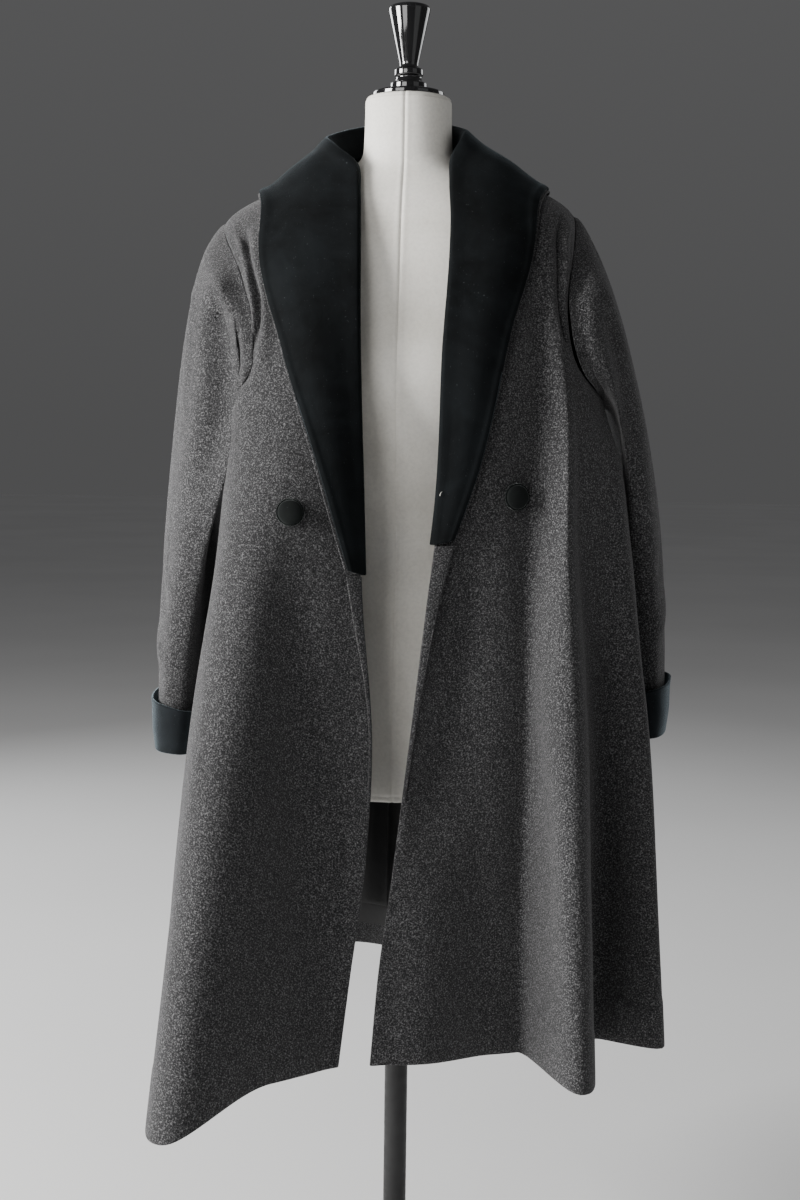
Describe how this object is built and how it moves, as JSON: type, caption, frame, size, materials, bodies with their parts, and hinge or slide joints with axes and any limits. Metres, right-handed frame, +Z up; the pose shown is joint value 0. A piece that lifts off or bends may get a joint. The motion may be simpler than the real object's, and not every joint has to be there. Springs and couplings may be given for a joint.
{
  "type": "wool coat on a dress form",
  "caption": "Wide swing coat with a broad velvet shawl collar and turned-back velvet cuffs, hanging open on a limbless dress form with a pole stand.",
  "frame": {"origin": "on the floor, under the middle of the stand's base", "axes": "+Z up, the form faces -Y, +X is the viewer's right"},
  "size_m": [0.6142, 0.665, 1.5916],
  "materials": {
    "charcoal_wool": "napped heathered charcoal wool coating",
    "black_velvet": "black velvet with a cold green-blue sheen",
    "black_lining": "smooth black lining",
    "cream_canvas": "taut cream cotton cover of the form",
    "black_gloss": "gloss black turned plate and knob",
    "black_steel": "satin black painted steel"
  },
  "bodies": {
    "root": {"front_left": "charcoal_wool", "front_right": "charcoal_wool", "back": "charcoal_wool", "back_lining": "black_lining", "sleeve_left": "charcoal_wool", "sleeve_right": "charcoal_wool", "cuff_left": "black_velvet", "cuff_right": "black_velvet", "facing_left": "charcoal_wool", "facing_right": "charcoal_wool", "collar": "black_velvet", "undercollar": "charcoal_wool", "button_left": "black_velvet", "button_right": "black_velvet", "torso": "cream_canvas", "neck_plate": "black_gloss", "finial": "black_gloss", "pole": "black_steel", "stand_base": "black_steel"}
  },
  "joints": []
}
